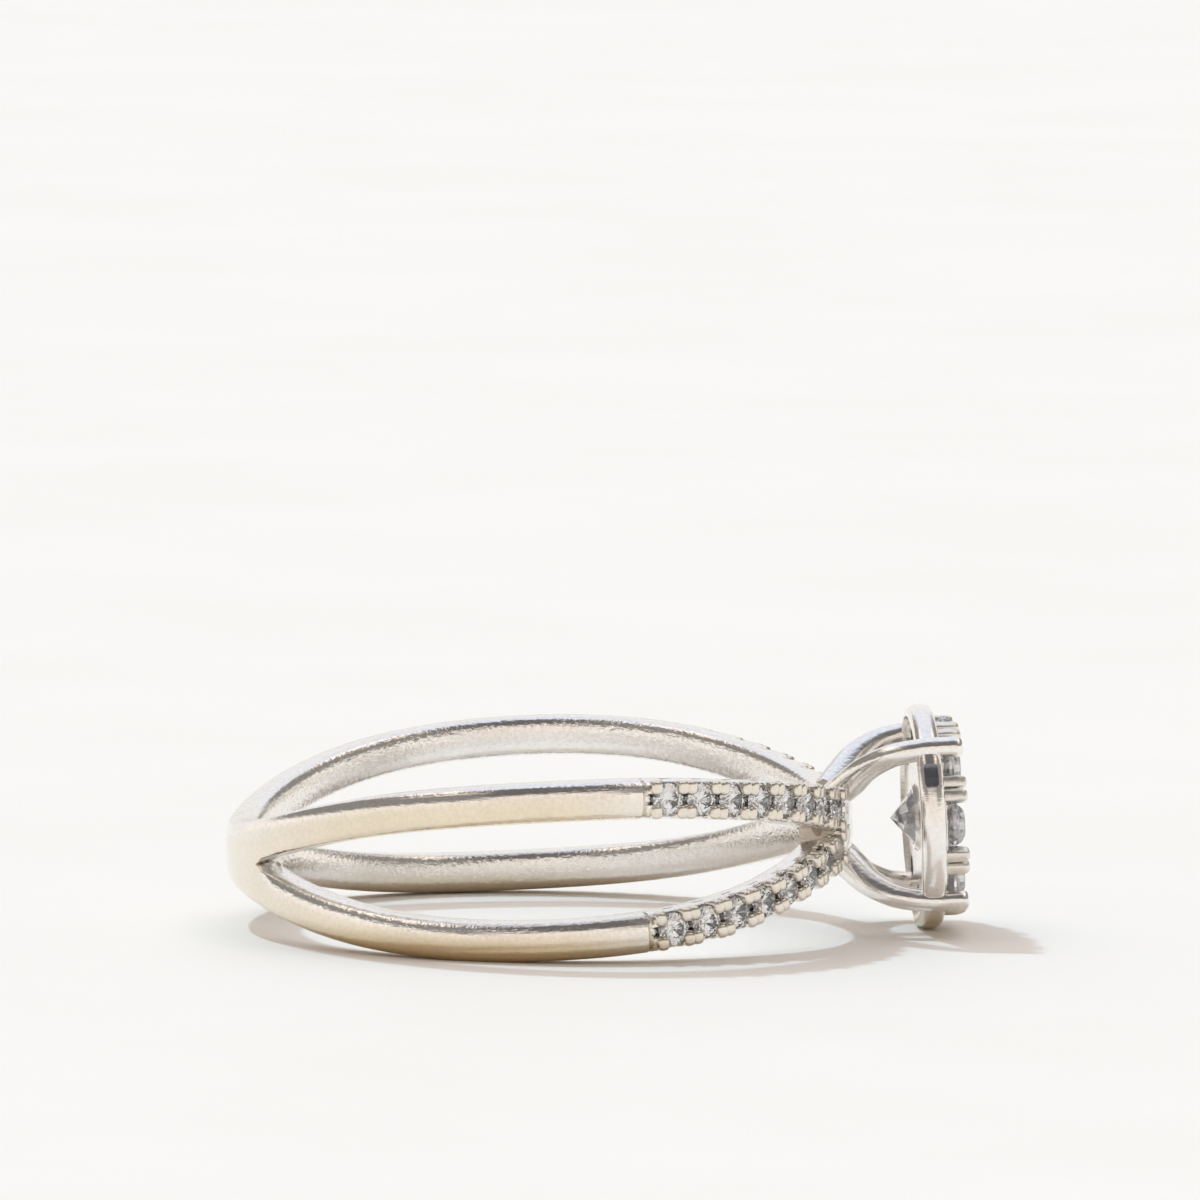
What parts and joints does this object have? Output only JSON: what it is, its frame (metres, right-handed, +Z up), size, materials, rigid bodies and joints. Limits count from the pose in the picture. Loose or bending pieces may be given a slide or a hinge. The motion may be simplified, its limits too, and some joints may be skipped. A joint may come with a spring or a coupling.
{
  "type": "crossover ring",
  "caption": "Finger ring with a band split into two crossing strands, small stones along their fronts, and a round cluster head raised on a gallery ring with four claw arms.",
  "frame": {"origin": "centre of the bounding box on the ground that the ring lies on", "axes": "+X from the finger hole to the head, leaning 3 degrees up with the ring as it rests; +Y away from the viewer of the picture; +Z up, along the finger"},
  "size_m": [0.0234, 0.0198, 0.0071],
  "materials": {
    "white_metal": "polished white metal, lightly worn and warm in its shaded faces",
    "head_stone": "clear faceted stone",
    "small_stone": "clear faceted stone"
  },
  "bodies": {
    "root": {"ring_body": "white_metal", "centre_stone": "head_stone", "side_stone_1": "head_stone", "side_stone_2": "head_stone", "side_stone_3": "head_stone", "side_stone_4": "head_stone", "side_stone_5": "head_stone", "side_stone_6": "head_stone", "side_stone_7": "head_stone", "side_stone_8": "head_stone", "pave_near_upper": "small_stone", "pave_near_lower": "small_stone", "pave_far_upper": "small_stone", "pave_far_lower": "small_stone"}
  },
  "joints": []
}
